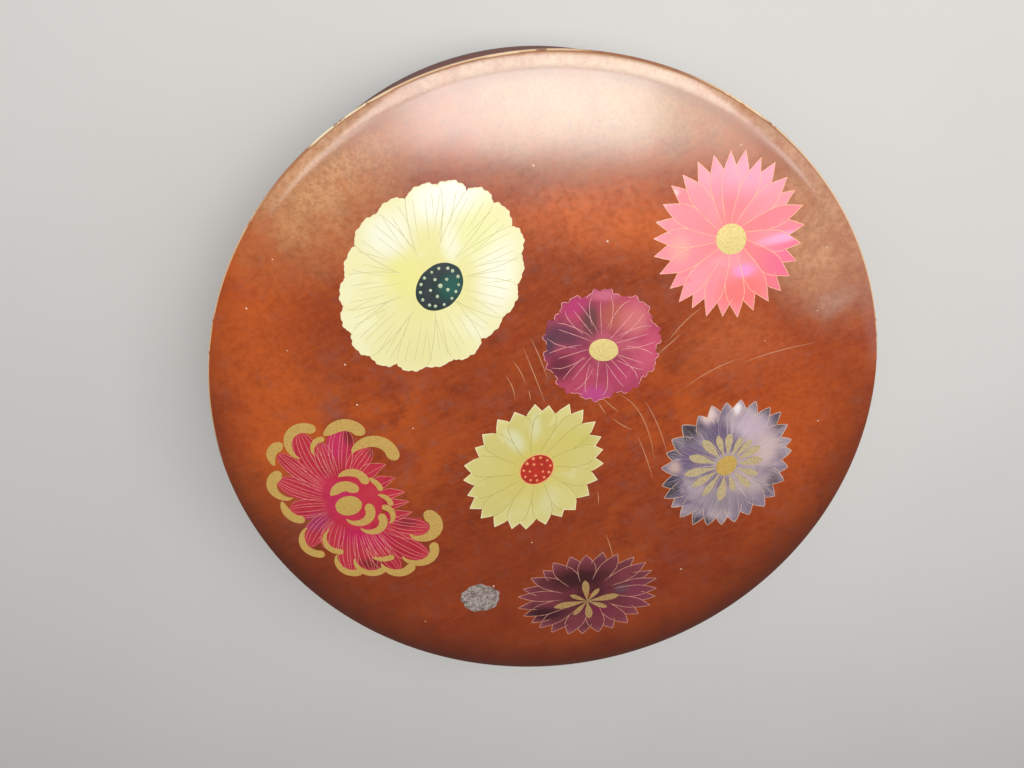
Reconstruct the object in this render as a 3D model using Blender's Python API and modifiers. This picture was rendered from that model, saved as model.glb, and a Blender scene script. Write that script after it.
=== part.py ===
# Round lacquer box with a lift-off lid, inlaid with seven chrysanthemum blossoms.
# It stands on its foot ring at the origin with +Z up, and +Y is the top of the lid's picture.
# Lengths are in metres, angles in degrees, and a share is a part of the size named beside it.

import math
from collections import namedtuple

import bmesh
import bpy
from mathutils import Vector

COLLECTION_NAME = "round_lacquer_box"
CUTTERS_NAME = "cutters"

# Driving sizes of the whole box
LID_DIAMETER = 0.303            # across the arris of the lid, one shaku
SEAT_GAP = 0.0003               # between glued pieces, all round
HOOP_INSET = 0.0003             # the hoops lie this far inside the lid's arris
TURN_STEPS = 72                 # facets round every turned piece
SHARP_ANGLE = 30

# Foot ring, the low ring that carries the box
FOOT_SETBACK = 0.0132           # from the hoops' outside in to the ring
FOOT_WIDTH = 0.007
FOOT_HEIGHT = 0.006
FOOT_BEVEL = 0.001

# Bottom board, a disc with a flange under the hoop and a raised plug inside it
FLANGE_THICKNESS = 0.003
FLANGE_ROUND = 0.0016
BASE_PLUG_HEIGHT = 0.003

# Body hoop, one bent strip with a lapped joint under the lacquer
BODY_HOOP_HEIGHT = 0.0504
BODY_WALL = 0.0045
SEAM_BEVEL = 0.0006             # on the edges that meet where the box opens

# Lining hoop inside the body, whose top stands up as the lip that guides the lid
LINING_WALL = 0.003
LIP_HEIGHT = 0.009
LIP_BEVEL = 0.001
LID_RUNNING_GAP = 0.0004        # all round between the lip and the lid hoop

# Lid hoop
LID_HOOP_HEIGHT = 0.0377
JOINT_GAP = 0.0003              # between the closed lid and the body hoop

# Lid board, a turned disc with a low dome, a rounded shoulder and a crisp arris
LID_EDGE_HEIGHT = 0.0013        # upright edge under the arris
SHOULDER_RUN = 0.0085
SHOULDER_ANGLE = 24             # slope of the shoulder where it meets the arris
SHOULDER_STEPS = 3
DOME_RISE = 0.00425
DOME_STEPS = 4
LID_BOARD_THICKNESS = 0.006
LID_PLUG_DEPTH = 0.003
LID_PLUG_WIDTH = 0.0105         # of the flat ring under the plug, outside the hollow

# Inlay, thin plates of tinted shell let into pockets that follow the dome
INLAY_THICKNESS = 0.0012
CUTTER_OVERRUN = 0.004          # how far the cutting layer stands over the dome
EYE_STEPS = 24

# Radii and heights that follow from the sizes above
LID_RADIUS = LID_DIAMETER / 2
HOOP_RADIUS = LID_RADIUS - HOOP_INSET
BODY_INNER_RADIUS = HOOP_RADIUS - BODY_WALL
LINING_RADIUS = BODY_INNER_RADIUS - SEAT_GAP
LINING_INNER_RADIUS = LINING_RADIUS - LINING_WALL
LID_INNER_RADIUS = LINING_RADIUS + LID_RUNNING_GAP
LID_PLUG_RADIUS = LID_INNER_RADIUS - SEAT_GAP
BASE_PLUG_RADIUS = BODY_INNER_RADIUS - SEAT_GAP
DOME_RADIUS = LID_RADIUS - SHOULDER_RUN
SHOULDER_RADIUS = SHOULDER_RUN / math.sin(math.radians(SHOULDER_ANGLE))
SHOULDER_DROP = SHOULDER_RADIUS * (1 - math.cos(math.radians(SHOULDER_ANGLE)))

BASE_LOW = FOOT_HEIGHT + SEAT_GAP
FLANGE_TOP = BASE_LOW + FLANGE_THICKNESS
BASE_PLUG_TOP = FLANGE_TOP + BASE_PLUG_HEIGHT
BODY_HOOP_LOW = FLANGE_TOP + SEAT_GAP
BODY_HOOP_TOP = BODY_HOOP_LOW + BODY_HOOP_HEIGHT
LINING_LOW = BASE_PLUG_TOP + SEAT_GAP
LIP_TOP = BODY_HOOP_TOP + LIP_HEIGHT
LID_HOOP_LOW = BODY_HOOP_TOP + JOINT_GAP
LID_HOOP_TOP = LID_HOOP_LOW + LID_HOOP_HEIGHT
LID_EDGE_LOW = LID_HOOP_TOP + SEAT_GAP
ARRIS_HEIGHT = LID_EDGE_LOW + LID_EDGE_HEIGHT
POCKET_DEPTH = INLAY_THICKNESS + SEAT_GAP
PRISM_LOW = LID_EDGE_LOW
PRISM_HIGH = ARRIS_HEIGHT + SHOULDER_DROP + DOME_RISE + 2 * CUTTER_OVERRUN

# One blossom of even petals. Places and reaches are shares of the lid's radius, a width is a
# share of the reach, and a notch is a share of the petal's length. The power sets the petal's
# end: 1 gives a straight-sided point and 2 a round scallop.
Blossom = namedtuple(
    "Blossom", "name place_shares reach_share width_share tilt petals notch_share power colour")
Eye = namedtuple("Eye", "name place_shares reach_share width_share tilt colour")

BLOSSOM_SHARES = (
    Blossom("white_blossom", (-0.352, 0.3995), 0.293, 0.80, 52, 18, 0.055, 2.0, "F3EFB4"),
    Blossom("pink_blossom", (0.474, 0.531), 0.234, 0.905, 103, 29, 0.13, 1.25, "F7838C"),
    Blossom("plum_blossom", (0.1355, 0.209), 0.175, 0.97, 0, 10, 0.09, 2.0, "A23A6C"),
    Blossom("yellow_blossom", (-0.0425, -0.191), 0.238, 0.83, 48, 25, 0.12, 1.2, "DCD088"),
    Blossom("lilac_blossom", (0.563, -0.186), 0.231, 0.89, 68, 27, 0.13, 1.4, "8B7690"),
    Blossom("dark_blossom", (0.158, -0.678), 0.236, 0.71, 11, 27, 0.14, 1.4, "63263F"),
)
EYE_SHARES = (
    Eye("white_blossom_eye", (-0.328, 0.382), 0.075, 0.77, 50, "23463C"),
    Eye("pink_blossom_eye", (0.479, 0.524), 0.045, 0.92, -45, "E8D582"),
    Eye("plum_blossom_eye", (0.143, 0.199), 0.043, 0.79, -8, "D9BF6A"),
    Eye("yellow_blossom_eye", (-0.035, -0.1925), 0.055, 0.84, 48, "B8301E"),
    Eye("lilac_blossom_eye", (0.5605, -0.188), 0.036, 0.88, 60, "CDB04C"),
    Eye("crimson_blossom_eye", (-0.612, -0.322), 0.041, 0.83, 15, "C8A34E"),
)

# The crimson blossom's curled petals differ, so each has the angles where it starts and ends,
# and its reach as a share of the longest.
CRIMSON_PLACE_SHARES = (-0.5945, -0.3235)
CRIMSON_REACH_SHARE = 0.320
CRIMSON_NOTCH_SHARE = 0.13
CRIMSON_POWER = 2.2
CRIMSON_COLOUR = "A62C44"
CRIMSON_CURL_SHARES = (
    (0, 11, 0.53), (11, 30, 0.52), (30, 48, 0.53), (48, 79, 0.80), (79, 109, 0.93),
    (109, 131, 1.0), (131, 149, 0.97), (149, 173, 0.87), (173, 202, 0.72), (202, 248, 0.75),
    (248, 271, 0.85), (271, 287, 0.86), (287, 307, 0.93), (307, 331, 0.99), (331, 360, 0.87),
)

# The dark blossom's eye is a star of gold drops: the angle of each, its reach as a share of
# the longest and its width as a share of its own reach.
STAR_NAME = "dark_blossom_eye"
STAR_PLACE_SHARES = (0.156, -0.702)
STAR_REACH_SHARE = 0.1135
STAR_NECK_SHARE = 0.10
STAR_BELLY_SHARE = 0.68
STAR_COLOUR = "C6A75C"
STAR_DROP_SHARES = (
    (12, 0.95, 0.21), (55, 0.56, 0.24), (99, 0.77, 0.25), (156, 0.57, 0.22),
    (192, 1.0, 0.20), (234, 0.64, 0.22), (280, 0.66, 0.30), (338, 0.66, 0.22),
)

LACQUER = "8E3418"
BODY_LACQUER = "6E2414"
INNER_LACQUER = "120C0A"


def clear_scene():
    for old in list(bpy.data.objects):
        bpy.data.objects.remove(old, do_unlink=True)


def new_collection(name):
    collection = bpy.data.collections.new(name)
    bpy.context.scene.collection.children.link(collection)
    return collection


def linear(channel):
    if channel <= 0.04045:
        return channel / 12.92
    return ((channel + 0.055) / 1.055) ** 2.4


def material(name, colour, roughness, metallic=0.0):
    made = bpy.data.materials.new(name)
    made.use_nodes = True
    shader = made.node_tree.nodes["Principled BSDF"]
    channels = [linear(int(colour[i:i + 2], 16) / 255) for i in (0, 2, 4)]
    shader.inputs["Base Color"].default_value = (*channels, 1.0)
    shader.inputs["Roughness"].default_value = roughness
    shader.inputs["Metallic"].default_value = metallic
    return made


def turned(name, profile, collection, closed=True):
    """Turn a profile of (radius, height) points about Z. The profile runs from the top
    down its outer side. A ring's profile is a closed loop, a disc's ends on the axis."""
    count = len(profile)
    edges = [(i, i + 1) for i in range(count - 1)]
    if closed:
        edges.append((count - 1, 0))
    mesh = bpy.data.meshes.new(name)
    mesh.from_pydata([(radius, 0, height) for radius, height in profile], edges, [])
    piece = bpy.data.objects.new(name, mesh)
    collection.objects.link(piece)
    screw = piece.modifiers.new("turn", "SCREW")
    screw.axis = "Z"
    screw.steps = TURN_STEPS
    screw.render_steps = TURN_STEPS
    screw.use_merge_vertices = True
    screw.merge_threshold = 0.00001
    return piece


def prism(name, outlines, collection):
    """Extrude flat outlines right through the dome, the inner ones as holes."""
    curve = bpy.data.curves.new(name, "CURVE")
    curve.dimensions = "2D"
    curve.fill_mode = "BOTH"
    curve.extrude = (PRISM_HIGH - PRISM_LOW) / 2
    for outline in outlines:
        spline = curve.splines.new("POLY")
        spline.points.add(len(outline) - 1)
        for point, (x, y) in zip(spline.points, outline):
            point.co = (x, y, 0, 1)
        spline.use_cyclic_u = True
    drawn = bpy.data.objects.new(name + "_outline", curve)
    drawn.location.z = (PRISM_LOW + PRISM_HIGH) / 2
    collection.objects.link(drawn)
    bpy.context.view_layer.update()

    seen = drawn.evaluated_get(bpy.context.evaluated_depsgraph_get())
    mesh = bpy.data.meshes.new_from_object(seen)
    mesh.name = name
    weld_caps(mesh)
    piece = bpy.data.objects.new(name, mesh)
    piece.matrix_world = drawn.matrix_world.copy()
    collection.objects.link(piece)
    bpy.data.objects.remove(drawn, do_unlink=True)
    return piece


def weld_caps(mesh):
    edit = bmesh.new()
    edit.from_mesh(mesh)
    bmesh.ops.remove_doubles(edit, verts=edit.verts, dist=0.000001)
    bmesh.ops.recalc_face_normals(edit, faces=edit.faces)
    edit.to_mesh(mesh)
    edit.free()


def boolean(piece, operation, other):
    cut = piece.modifiers.new(operation.lower(), "BOOLEAN")
    cut.operation = operation
    cut.solver = "EXACT"
    cut.object = other


def as_cutter(piece):
    piece.hide_render = True
    piece.display_type = "WIRE"


def settle(piece):
    """Make the modifiers' result the piece's own mesh, shaded smooth up to its arrises."""
    bpy.context.view_layer.update()
    seen = piece.evaluated_get(bpy.context.evaluated_depsgraph_get())
    mesh = bpy.data.meshes.new_from_object(seen)
    piece.modifiers.clear()
    piece.data = mesh
    mesh.shade_smooth()
    mesh.set_sharp_from_angle(angle=math.radians(SHARP_ANGLE))


def dome_height(radius):
    """Height of the lid's outside over the plane of its arris."""
    if radius <= DOME_RADIUS:
        return SHOULDER_DROP + DOME_RISE * (1 - (radius / DOME_RADIUS) ** 2)
    run = radius - DOME_RADIUS
    return SHOULDER_DROP - (SHOULDER_RADIUS - math.sqrt(SHOULDER_RADIUS ** 2 - run ** 2))


def dome_radii():
    return [DOME_RADIUS * step / DOME_STEPS for step in range(DOME_STEPS + 1)]


def dome_points(offset):
    """Dome profile from the axis to its edge, moved up by the offset."""
    return [(radius, ARRIS_HEIGHT + dome_height(radius) + offset) for radius in dome_radii()]


def shoulder_points():
    points = []
    for step in range(1, SHOULDER_STEPS + 1):
        angle = math.radians(SHOULDER_ANGLE * step / SHOULDER_STEPS)
        drop = SHOULDER_RADIUS * (1 - math.cos(angle))
        radius = DOME_RADIUS + SHOULDER_RADIUS * math.sin(angle)
        points.append((radius, ARRIS_HEIGHT + SHOULDER_DROP - drop))
    return points


def dome_layer(name, low_offset, high_offset, collection):
    """A layer that follows the dome, between two offsets from its surface."""
    top = dome_points(high_offset)
    bottom = list(reversed(dome_points(low_offset)))
    layer = turned(name, top + bottom, collection, closed=False)
    as_cutter(layer)
    return layer


def placed(point, place_shares, reach_share, width_share, tilt):
    """Carry a point of the unit outline to its place on the lid."""
    x = point[0]
    y = point[1] * width_share
    turn = math.radians(tilt)
    reach = reach_share * LID_RADIUS
    return (place_shares[0] * LID_RADIUS + reach * (x * math.cos(turn) - y * math.sin(turn)),
            place_shares[1] * LID_RADIUS + reach * (x * math.sin(turn) + y * math.cos(turn)))


def polar(angle, radius):
    turn = math.radians(angle)
    return (radius * math.cos(turn), radius * math.sin(turn))


def petal_points(start, end, reach_share, notch_share, power):
    """One petal of a unit outline: its first notch, two shoulders and the tip between them."""
    middle = (start + end) / 2
    half = (end - start) / 2
    points = []
    for side in (-1, -0.5, 0, 0.5):
        fall = notch_share * abs(side) ** power
        points.append(polar(middle + side * half, reach_share * (1 - fall)))
    return points


def blossom_outline(flower):
    unit = []
    width = 360 / flower.petals
    for petal in range(flower.petals):
        start = petal * width
        unit += petal_points(start, start + width, 1, flower.notch_share, flower.power)
    return [placed(point, flower.place_shares, flower.reach_share, flower.width_share, flower.tilt)
            for point in unit]


def crimson_outline():
    unit = []
    for start, end, reach_share in CRIMSON_CURL_SHARES:
        unit += petal_points(start, end, reach_share, CRIMSON_NOTCH_SHARE, CRIMSON_POWER)
    return [placed(point, CRIMSON_PLACE_SHARES, CRIMSON_REACH_SHARE, 1, 0) for point in unit]


def eye_outline(eye):
    unit = [polar(360 * step / EYE_STEPS, 1) for step in range(EYE_STEPS)]
    return [placed(point, eye.place_shares, eye.reach_share, eye.width_share, eye.tilt)
            for point in unit]


def star_outline():
    """Drops with a narrow neck at the middle and a belly near the tip."""
    unit = []
    for number, (angle, reach_share, width_share) in enumerate(STAR_DROP_SHARES):
        before = STAR_DROP_SHARES[number - 1][0] - (360 if number == 0 else 0)
        unit.append(polar((before + angle) / 2, STAR_NECK_SHARE))
        belly = STAR_BELLY_SHARE * reach_share
        spread = math.degrees(math.atan(width_share / 2 / STAR_BELLY_SHARE))
        unit.append(polar(angle - spread, belly))
        unit.append(polar(angle, reach_share))
        unit.append(polar(angle + spread, belly))
    return [placed(point, STAR_PLACE_SHARES, STAR_REACH_SHARE, 1, 0) for point in unit]


def grown(outline, gap):
    """Move each side of an outline outwards by the gap, with mitred corners."""
    result = []
    count = len(outline)
    for number in range(count):
        before = Vector(outline[number - 1])
        corner = Vector(outline[number])
        after = Vector(outline[(number + 1) % count])
        inward = (corner - before).normalized()
        onward = (after - corner).normalized()
        normal_in = Vector((inward.y, -inward.x))
        normal_on = Vector((onward.y, -onward.x))
        middle = (normal_in + normal_on).normalized()
        result.append(tuple(corner + middle * (gap / middle.dot(normal_in))))
    return result


def foot_ring(collection):
    outer = HOOP_RADIUS - FOOT_SETBACK
    inner = outer - FOOT_WIDTH
    profile = [
        (inner, FOOT_HEIGHT),
        (outer, FOOT_HEIGHT),
        (outer, FOOT_BEVEL),
        (outer - FOOT_BEVEL, 0),
        (inner + FOOT_BEVEL, 0),
        (inner, FOOT_BEVEL),
    ]
    return turned("foot_ring", profile, collection)


def bottom_board(collection):
    profile = [
        (0, BASE_PLUG_TOP),
        (BASE_PLUG_RADIUS, BASE_PLUG_TOP),
        (BASE_PLUG_RADIUS, FLANGE_TOP),
        (HOOP_RADIUS, FLANGE_TOP),
        (HOOP_RADIUS, BASE_LOW + FLANGE_ROUND),
    ]
    for angle in (30, 60, 90):
        turn = math.radians(angle)
        profile.append((HOOP_RADIUS - FLANGE_ROUND * (1 - math.cos(turn)),
                        BASE_LOW + FLANGE_ROUND * (1 - math.sin(turn))))
    profile.append((0, BASE_LOW))
    return turned("bottom_board", profile, collection, closed=False)


def body_hoop(collection):
    profile = [
        (BODY_INNER_RADIUS, BODY_HOOP_TOP),
        (HOOP_RADIUS - SEAM_BEVEL, BODY_HOOP_TOP),
        (HOOP_RADIUS, BODY_HOOP_TOP - SEAM_BEVEL),
        (HOOP_RADIUS, BODY_HOOP_LOW),
        (BODY_INNER_RADIUS, BODY_HOOP_LOW),
    ]
    return turned("body_hoop", profile, collection)


def lining_hoop(collection):
    profile = [
        (LINING_INNER_RADIUS + LIP_BEVEL, LIP_TOP),
        (LINING_RADIUS - LIP_BEVEL, LIP_TOP),
        (LINING_RADIUS, LIP_TOP - LIP_BEVEL),
        (LINING_RADIUS, LINING_LOW),
        (LINING_INNER_RADIUS, LINING_LOW),
        (LINING_INNER_RADIUS, LIP_TOP - LIP_BEVEL),
    ]
    return turned("lining_hoop", profile, collection)


def lid_hoop(collection):
    profile = [
        (LID_INNER_RADIUS, LID_HOOP_TOP),
        (HOOP_RADIUS, LID_HOOP_TOP),
        (HOOP_RADIUS, LID_HOOP_LOW + SEAM_BEVEL),
        (HOOP_RADIUS - SEAM_BEVEL, LID_HOOP_LOW),
        (LID_INNER_RADIUS, LID_HOOP_LOW),
    ]
    return turned("lid_hoop", profile, collection)


def lid_board(collection):
    plug_low = LID_EDGE_LOW - LID_PLUG_DEPTH
    hollow_radius = LID_PLUG_RADIUS - LID_PLUG_WIDTH
    hollow = [point for point in dome_points(-LID_BOARD_THICKNESS) if point[0] < hollow_radius]
    profile = dome_points(0) + shoulder_points() + [
        (LID_RADIUS, LID_EDGE_LOW),
        (LID_PLUG_RADIUS, LID_EDGE_LOW),
        (LID_PLUG_RADIUS, plug_low),
        (hollow_radius, plug_low),
    ] + list(reversed(hollow))
    return turned("lid_board", profile, collection, closed=False)


def inlay(name, outline, holes, layers, collection):
    """A plate that lies in the inlay layer of the dome, inside its outline."""
    plate = prism(name, [outline] + holes, collection)
    boolean(plate, "INTERSECT", layers["inlay"])
    return plate


def pocket(name, outline, layers, cutters):
    """The cutter for a plate's pocket, larger than the plate by the gap."""
    cutter = prism(name, [grown(outline, SEAT_GAP)], cutters)
    boolean(cutter, "INTERSECT", layers["pocket"])
    as_cutter(cutter)
    return cutter


def inlaid_blossoms(board, collection, cutters):
    layers = {
        "inlay": dome_layer("inlay_layer", -INLAY_THICKNESS, 0, cutters),
        "pocket": dome_layer("pocket_layer", -POCKET_DEPTH, CUTTER_OVERRUN, cutters),
    }
    outlines = {flower.name: (blossom_outline(flower), flower.colour) for flower in BLOSSOM_SHARES}
    outlines["crimson_blossom"] = (crimson_outline(), CRIMSON_COLOUR)
    eyes = {eye.name: (eye_outline(eye), eye.colour) for eye in EYE_SHARES}
    eyes[STAR_NAME] = (star_outline(), STAR_COLOUR)

    pieces = []
    for name, (outline, colour) in outlines.items():
        eye_name = name + "_eye"
        eye, eye_colour = eyes[eye_name]
        plate = inlay(name, outline, [grown(eye, SEAT_GAP)], layers, collection)
        plate.data.materials.append(material(name, colour, 0.3))
        middle = inlay(eye_name, eye, [], layers, collection)
        middle.data.materials.append(material(eye_name, eye_colour, 0.35))
        boolean(board, "DIFFERENCE", pocket(name + "_pocket", outline, layers, cutters))
        pieces += [plate, middle]
    return pieces


def axis_empty(name, height, collection):
    empty = bpy.data.objects.new(name, None)
    empty.location.z = height
    collection.objects.link(empty)
    return empty


def hang_on(empty, pieces):
    bpy.context.view_layer.update()
    for piece in pieces:
        piece.parent = empty
        piece.matrix_parent_inverse = empty.matrix_world.inverted()


def build():
    clear_scene()
    parts = new_collection(COLLECTION_NAME)
    cutters = new_collection(CUTTERS_NAME)

    body = [foot_ring(parts), bottom_board(parts), body_hoop(parts), lining_hoop(parts)]
    for piece, colour in zip(body, (BODY_LACQUER, INNER_LACQUER, BODY_LACQUER, INNER_LACQUER)):
        piece.data.materials.append(material(piece.name, colour, 0.25))

    hoop = lid_hoop(parts)
    hoop.data.materials.append(material(hoop.name, BODY_LACQUER, 0.25))
    board = lid_board(parts)
    board.data.materials.append(material(board.name, LACQUER, 0.2))
    lid = [hoop, board] + inlaid_blossoms(board, parts, cutters)

    for piece in body + lid:
        settle(piece)
    hang_on(axis_empty("box_axis", 0, parts), body)
    hang_on(axis_empty("lid_axis", LID_HOOP_LOW, parts), lid)


build()
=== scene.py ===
# %% [markdown]
# # A round lacquer box with inlaid blossoms
# The box is a turned lid and two bent hoops under red-brown lacquer, with seven chrysanthemum
# blossoms of tinted shell let into the lid. The plain solids of every piece come from the
# frame, at their real size. This lesson models a fine surface for each of them with Blender's
# operators, and gives each a material made of nodes.

import math
from collections import namedtuple

import bpy
import numpy as np
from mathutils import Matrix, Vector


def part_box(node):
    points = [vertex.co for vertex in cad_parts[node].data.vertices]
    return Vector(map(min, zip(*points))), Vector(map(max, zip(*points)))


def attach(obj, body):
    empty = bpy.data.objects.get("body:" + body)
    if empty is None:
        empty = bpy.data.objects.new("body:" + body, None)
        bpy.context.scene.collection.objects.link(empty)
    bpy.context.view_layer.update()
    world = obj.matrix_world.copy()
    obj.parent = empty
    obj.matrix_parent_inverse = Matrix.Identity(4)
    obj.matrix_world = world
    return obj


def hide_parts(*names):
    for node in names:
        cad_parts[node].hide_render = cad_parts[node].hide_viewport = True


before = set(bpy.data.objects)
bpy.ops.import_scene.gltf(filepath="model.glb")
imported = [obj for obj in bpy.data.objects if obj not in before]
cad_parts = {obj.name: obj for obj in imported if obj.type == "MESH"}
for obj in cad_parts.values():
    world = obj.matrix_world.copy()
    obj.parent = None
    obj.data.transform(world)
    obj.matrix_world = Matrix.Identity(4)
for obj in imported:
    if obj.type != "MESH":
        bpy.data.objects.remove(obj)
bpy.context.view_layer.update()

# %% [markdown]
# ## Sizes
# The frame is in metres. Small things are easier to read in millimetres, so they are written
# as a number times MM. Radii and heights of the turned pieces are measured on the frame.

# %% Measure the turned pieces
MM = 0.001
Ring = namedtuple("Ring", "inner outer low high")


def measure(node):
    """Inner and outer radius, and lowest and highest point, of a turned piece of the frame."""
    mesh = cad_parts[node].data
    points = np.array([vertex.co for vertex in mesh.vertices])
    radii = np.hypot(points[:, 0], points[:, 1])
    return Ring(radii.min(), radii.max(), points[:, 2].min(), points[:, 2].max())


rings = {name: measure(name) for name in
         ("foot_ring", "bottom_board", "body_hoop", "lining_hoop", "lid_hoop", "lid_board")}
for name, ring in rings.items():
    print(name, "radius %.1f, height %.1f to %.1f mm" % (
        ring.outer / MM, ring.low / MM, ring.high / MM))

# %% [markdown]
# ## Camera
# The box stands on its foot, and the camera hangs over the top of the lid's picture and looks
# down and a little back, so the lid is a near circle and only a sliver of its side shows.

# %% Camera
CAMERA_PLACE = (-0.04382, 0.15579, 0.43505)
CAMERA_TURN = (math.radians(-23.314), math.radians(-3.768), math.radians(1.622))
CAMERA_LENS = 28.65

bpy.ops.object.select_all(action="DESELECT")
bpy.ops.object.camera_add(location=CAMERA_PLACE, rotation=CAMERA_TURN)
camera = bpy.context.object
camera.data.lens = CAMERA_LENS
camera.data.sensor_width = 36
bpy.context.scene.camera = camera

# %% [markdown]
# ## Helpers for modelling
# An operator works on what is selected, so each step starts by selecting one piece and nothing
# else. A modifier is added, set and applied in one go, as with its Apply button.

# %% Select, modify, read and write points
CORNER_ANGLE = math.radians(40)
SMOOTH_ANGLE = math.radians(35)


def only(piece):
    """Select one piece and make it the active one."""
    bpy.ops.object.select_all(action="DESELECT")
    piece.select_set(True)
    bpy.context.view_layer.objects.active = piece


def add(operator, **settings):
    """Add a primitive or a lamp, and return it."""
    bpy.ops.object.select_all(action="DESELECT")
    operator(**settings)
    return bpy.context.object


def modify(piece, kind, **settings):
    """Add a modifier, set it and apply it."""
    only(piece)
    bpy.ops.object.modifier_add(type=kind)
    modifier = piece.modifiers[-1]
    for name, value in settings.items():
        setattr(modifier, name, value)
    bpy.ops.object.modifier_apply(modifier=modifier.name)


def soften(piece, width, segments):
    """Round the sharp corners of a turned piece."""
    modify(piece, "BEVEL", width=width, segments=segments, limit_method="ANGLE",
           angle_limit=CORNER_ANGLE)


def get_points(piece):
    flat = np.empty(len(piece.data.vertices) * 3, dtype=np.float32)
    piece.data.vertices.foreach_get("co", flat)
    return flat.reshape(-1, 3).astype(float)


def set_points(piece, points):
    piece.data.vertices.foreach_set("co", points.astype(np.float32).ravel())
    piece.data.update()


# %% [markdown]
# ## The lid's dome
# Everything on the lid follows one surface, so its height is a formula. A low dome rises over
# the arris, the crisp outer corner, and a rounded shoulder joins the two. The skin lies a
# little under the solid's crown, which leaves room for the inlay and its gold lines.

# %% Height of the lid
LID_RADIUS = rings["lid_board"].outer
INLAY_ROOM = 0.45 * MM
SHOULDER_RUN = 8.5 * MM
SHOULDER_ANGLE = math.radians(24)
SHOULDER_RADIUS = SHOULDER_RUN / math.sin(SHOULDER_ANGLE)
SHOULDER_DROP = SHOULDER_RADIUS * (1 - math.cos(SHOULDER_ANGLE))
DOME_RADIUS = LID_RADIUS - SHOULDER_RUN
DOME_RISE = 4.25 * MM - INLAY_ROOM
ARRIS_HEIGHT = rings["lid_board"].high - INLAY_ROOM - SHOULDER_DROP - DOME_RISE
print("arris at", round(ARRIS_HEIGHT / MM, 2), "mm, radius", round(LID_RADIUS / MM, 2), "mm")


def lid_height(radius):
    """Height of the lid's surface at a distance from the axis."""
    dome = SHOULDER_DROP + DOME_RISE * (1 - (np.minimum(radius, DOME_RADIUS) / DOME_RADIUS) ** 2)
    run = np.clip(radius - DOME_RADIUS, 0, SHOULDER_RUN)
    return ARRIS_HEIGHT + dome - (SHOULDER_RADIUS - np.sqrt(SHOULDER_RADIUS ** 2 - run ** 2))


def on_lid(flat, lift):
    """Lay flat points on the lid, each lifted by its own small height."""
    return np.column_stack([flat, lid_height(np.hypot(flat[:, 0], flat[:, 1])) + lift])


# %% [markdown]
# ## Colours and nodes
# A shader takes linear light values, and a colour picked from a screen is written as six hex
# digits, so one function turns the one into the other. The other helpers add one node each,
# so that a material reads like a recipe.

# %% Colour and node helpers
def colour(code):
    """Linear light values of a screen colour such as A04D31."""
    shown = np.array([int(code[i:i + 2], 16) / 255 for i in (0, 2, 4)])
    light = np.where(shown <= 0.04045, shown / 12.92, ((shown + 0.055) / 1.055) ** 2.4)
    return (*light.tolist(), 1.0)


def new_material(name):
    made = bpy.data.materials.new(name)
    made.use_nodes = True
    return made, made.node_tree, made.node_tree.nodes["Principled BSDF"]


def node(tree, kind, inputs, output=0, **settings):
    """Add a node. Its inputs are values or the outputs of other nodes."""
    made = tree.nodes.new("ShaderNode" + kind)
    for name, value in settings.items():
        setattr(made, name, value)
    for socket, value in inputs.items():
        if isinstance(value, bpy.types.NodeSocket):
            tree.links.new(value, made.inputs[socket])
        else:
            made.inputs[socket].default_value = value
    return made.outputs[output]


def place(tree):
    return node(tree, "TexCoord", {}, output="Object")


def stretched(tree, where, scale, turn=0.0):
    """Coordinates turned about Z and then scaled along each axis."""
    turned = node(tree, "VectorRotate", {"Vector": where, "Angle": math.radians(turn)},
                  rotation_type="Z_AXIS")
    return node(tree, "VectorMath", {0: turned, 1: scale}, operation="MULTIPLY")


def noise(tree, where, scale, detail=4.0, roughness=0.55, distortion=0.0):
    return node(tree, "TexNoise", {"Vector": where, "Scale": scale, "Detail": detail,
                                   "Roughness": roughness, "Distortion": distortion})


def remap(tree, value, low, high, to_low=0.0, to_high=1.0):
    """Stretch the range from low to high to a new one, with soft ends."""
    return node(tree, "MapRange", {"Value": value, "From Min": low, "From Max": high,
                                   "To Min": to_low, "To Max": to_high},
                interpolation_type="SMOOTHSTEP")


def blend(tree, share, first, second):
    """Mix two colours. A share of 1 gives the second."""
    return node(tree, "Mix", {0: share, 6: first, 7: second}, output=2, data_type="RGBA")


def maths(tree, operation, first, second):
    return node(tree, "Math", {0: first, 1: second}, operation=operation)


def times(tree, *factors):
    """The product of all the factors."""
    product = factors[0]
    for factor in factors[1:]:
        product = maths(tree, "MULTIPLY", product, factor)
    return product


def from_axis(tree, where):
    """Distance from the box's axis."""
    level = node(tree, "VectorMath", {0: where, 1: (1, 1, 0)}, operation="MULTIPLY")
    return node(tree, "VectorMath", {0: level}, output="Value", operation="LENGTH")


def spot(tree, where, centre, half_sizes, tilt=0.0, soft=0.6):
    """1 inside an ellipse on the lid, falling to 0 at its edge. Sizes are in millimetres."""
    local = node(tree, "Mapping", {
        "Vector": where, "Location": (centre[0] * MM, centre[1] * MM, ARRIS_HEIGHT),
        "Rotation": (0, 0, math.radians(tilt)),
        "Scale": (half_sizes[0] * MM, half_sizes[1] * MM, 1)}, vector_type="TEXTURE")
    distance = node(tree, "VectorMath", {0: local}, output="Value", operation="LENGTH")
    return remap(tree, distance, 1.0, 1.0 - soft)


def add_spots(tree, where, base, spots, soft=0.8, cover=1.0):
    """Soft patches. Each is a centre, half sizes, tilt, colour and strength."""
    for centre, half_sizes, tilt, code, strength in spots:
        inside = spot(tree, where, centre, half_sizes, tilt, soft)
        base = blend(tree, times(tree, inside, strength, cover), base, colour(code))
    return base


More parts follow.
